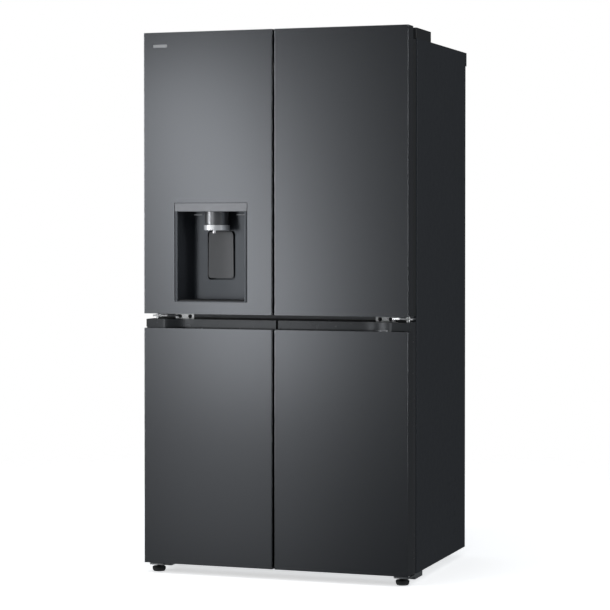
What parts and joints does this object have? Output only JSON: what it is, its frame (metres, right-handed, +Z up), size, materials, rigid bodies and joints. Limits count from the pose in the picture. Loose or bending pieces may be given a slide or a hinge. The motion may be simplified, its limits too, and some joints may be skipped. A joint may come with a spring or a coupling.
{
  "type": "french door refrigerator",
  "caption": "Tall free-standing fridge-freezer with upper and lower pairs of side-hinged doors, recessed finger grips and a water and ice dispenser in a door.",
  "frame": {"origin": "on the floor, in the middle of the overall width and depth", "axes": "+Z up; -Y is the side with the doors; +X is the right-hand side seen from the front"},
  "size_m": [0.912, 0.73, 1.79],
  "materials": {
    "door_steel": "satin graphite",
    "case_steel": "fine textured paint",
    "frame_black": "matte",
    "grip_grey": "matte",
    "liner_white": "semi-gloss",
    "gasket_grey": "matte",
    "galvanised": "zinc plated",
    "foam": "rigid foam",
    "shelf_glass": "clear",
    "clear_plastic": "clear, frosted edges",
    "lamp_lens": "frosted",
    "compressor_black": "black paint",
    "condenser_tube": "black paint",
    "machine_plastic": "matte",
    "black_plastic": "satin",
    "strip_grey": "satin metallic",
    "lever_grey": "satin",
    "dark_chrome": "plated",
    "bright_chrome": "plated",
    "foot_black": "matte",
    "roller_black": "matte"
  },
  "bodies": {
    "cabinet": {"outer_case": "case_steel", "back_panel": "galvanised", "base_pan": "galvanised", "insulation_foam": "foam", "fridge_liner": "liner_white", "freezer_liners": "liner_white", "front_frame": "frame_black", "top_hinges": "galvanised", "hinge_covers": "frame_black", "middle_hinges": "galvanised", "bottom_hinges": "galvanised", "hinge_screws": "galvanised", "glass_shelves": "shelf_glass", "shelf_trims": "liner_white", "air_duct_covers": "liner_white", "light_lens": "lamp_lens", "compressor": "compressor_black", "condenser_coil": "condenser_tube", "fan_shroud": "machine_plastic", "machine_cover": "machine_plastic", "drain_pan": "machine_plastic", "rear_top_rail": "frame_black"},
    "upper_left_door": {"upper_left_skin": "door_steel", "upper_left_frame": "frame_black", "upper_left_liner": "liner_white", "upper_left_gasket": "gasket_grey", "dispenser_housing": "black_plastic", "control_panel": "strip_grey", "ice_chute": "dark_chrome", "chute_ring": "bright_chrome", "left_door_bins": "clear_plastic"},
    "upper_right_door": {"upper_right_skin": "door_steel", "upper_right_frame": "frame_black", "upper_right_liner": "liner_white", "upper_right_gasket": "gasket_grey", "right_door_bins": "clear_plastic"},
    "lower_left_door": {"lower_left_skin": "door_steel", "lower_left_frame": "grip_grey", "lower_left_liner": "liner_white", "lower_left_gasket": "gasket_grey"},
    "lower_right_door": {"lower_right_skin": "door_steel", "lower_right_frame": "grip_grey", "lower_right_liner": "liner_white", "lower_right_gasket": "gasket_grey"},
    "pillar": {"center_pillar": "liner_white"},
    "lever": {"dispenser_lever": "lever_grey"},
    "tray": {"drip_tray": "black_plastic"},
    "fan": {"condenser_fan": "machine_plastic"},
    "left_foot": {"foot_left": "foot_black"},
    "right_foot": {"foot_right": "foot_black"},
    "left_roller": {"roller_left": "roller_black"},
    "right_roller": {"roller_right": "roller_black"},
    "left_crisper": {"crisper_left": "clear_plastic"},
    "right_crisper": {"crisper_right": "clear_plastic"},
    "left_top_drawer": {"freezer_drawer_left_top": "clear_plastic"},
    "left_middle_drawer": {"freezer_drawer_left_middle": "clear_plastic"},
    "left_bottom_drawer": {"freezer_drawer_left_bottom": "clear_plastic"},
    "right_top_drawer": {"freezer_drawer_right_top": "clear_plastic"},
    "right_middle_drawer": {"freezer_drawer_right_middle": "clear_plastic"},
    "right_bottom_drawer": {"freezer_drawer_right_bottom": "clear_plastic"}
  },
  "joints": [
    {"name": "upper_left_hinge", "type": "hinge", "parent": "cabinet", "child": "upper_left_door", "pos_m": [-0.436, -0.293, 1.324], "axis": [0, 0, -1], "range_deg": [0, 110]},
    {"name": "upper_right_hinge", "type": "hinge", "parent": "cabinet", "child": "upper_right_door", "pos_m": [0.436, -0.293, 1.324], "axis": [0, 0, 1], "range_deg": [0, 110]},
    {"name": "lower_left_hinge", "type": "hinge", "parent": "cabinet", "child": "lower_left_door", "pos_m": [-0.436, -0.293, 0.438], "axis": [0, 0, -1], "range_deg": [0, 110]},
    {"name": "lower_right_hinge", "type": "hinge", "parent": "cabinet", "child": "lower_right_door", "pos_m": [0.436, -0.293, 0.438], "axis": [0, 0, 1], "range_deg": [0, 110]},
    {"name": "pillar_hinge", "type": "hinge", "parent": "upper_left_door", "child": "pillar", "pos_m": [-0.034, -0.265, 1.3], "axis": [0, 0, -1], "range_deg": [0, 90]},
    {"name": "lever_hinge", "type": "hinge", "parent": "upper_left_door", "child": "lever", "pos_m": [-0.218, -0.257, 1.148], "axis": [1, 0, 0], "range_deg": [0, 8], "stiffness_Nm_per_rad": 0.6, "springref_deg": -8.59},
    {"name": "tray_slide", "type": "slide", "parent": "upper_left_door", "child": "tray", "axis": [0, -1, 0], "range_m": [0, 0.07]},
    {"name": "fan_spin", "type": "hinge", "parent": "cabinet", "child": "fan", "pos_m": [0.022, 0.235, 0.15], "axis": [1, 0, 0], "continuous": true},
    {"name": "left_foot_turn", "type": "hinge", "parent": "cabinet", "child": "left_foot", "pos_m": [-0.424, -0.315, 0], "axis": [0, 0, 1], "continuous": true},
    {"name": "left_roller_spin", "type": "hinge", "parent": "cabinet", "child": "left_roller", "pos_m": [-0.38, 0.235, 0.02], "axis": [1, 0, 0], "continuous": true},
    {"name": "right_foot_turn", "type": "hinge", "parent": "cabinet", "child": "right_foot", "pos_m": [0.424, -0.315, 0], "axis": [0, 0, 1], "continuous": true},
    {"name": "right_roller_spin", "type": "hinge", "parent": "cabinet", "child": "right_roller", "pos_m": [0.38, 0.235, 0.02], "axis": [1, 0, 0], "continuous": true},
    {"name": "left_crisper_slide", "type": "slide", "parent": "cabinet", "child": "left_crisper", "axis": [0, -1, 0], "range_m": [0, 0.202]},
    {"name": "left_top_drawer_slide", "type": "slide", "parent": "cabinet", "child": "left_top_drawer", "axis": [0, -1, 0], "range_m": [0, 0.154]},
    {"name": "left_middle_drawer_slide", "type": "slide", "parent": "cabinet", "child": "left_middle_drawer", "axis": [0, -1, 0], "range_m": [0, 0.154]},
    {"name": "left_bottom_drawer_slide", "type": "slide", "parent": "cabinet", "child": "left_bottom_drawer", "axis": [0, -1, 0], "range_m": [0, 0.154]},
    {"name": "right_crisper_slide", "type": "slide", "parent": "cabinet", "child": "right_crisper", "axis": [0, -1, 0], "range_m": [0, 0.202]},
    {"name": "right_top_drawer_slide", "type": "slide", "parent": "cabinet", "child": "right_top_drawer", "axis": [0, -1, 0], "range_m": [0, 0.154]},
    {"name": "right_middle_drawer_slide", "type": "slide", "parent": "cabinet", "child": "right_middle_drawer", "axis": [0, -1, 0], "range_m": [0, 0.154]},
    {"name": "right_bottom_drawer_slide", "type": "slide", "parent": "cabinet", "child": "right_bottom_drawer", "axis": [0, -1, 0], "range_m": [0, 0.154]}
  ],
  "couplings": [
    {"joint": "left_crisper_slide", "follows": "upper_left_hinge", "m_per_rad": 0.105},
    {"joint": "left_top_drawer_slide", "follows": "lower_left_hinge", "m_per_rad": 0.08},
    {"joint": "left_middle_drawer_slide", "follows": "lower_left_hinge", "m_per_rad": 0.08},
    {"joint": "left_bottom_drawer_slide", "follows": "lower_left_hinge", "m_per_rad": 0.08},
    {"joint": "right_crisper_slide", "follows": "upper_right_hinge", "m_per_rad": 0.105},
    {"joint": "right_top_drawer_slide", "follows": "lower_right_hinge", "m_per_rad": 0.08},
    {"joint": "right_middle_drawer_slide", "follows": "lower_right_hinge", "m_per_rad": 0.08},
    {"joint": "right_bottom_drawer_slide", "follows": "lower_right_hinge", "m_per_rad": 0.08}
  ]
}
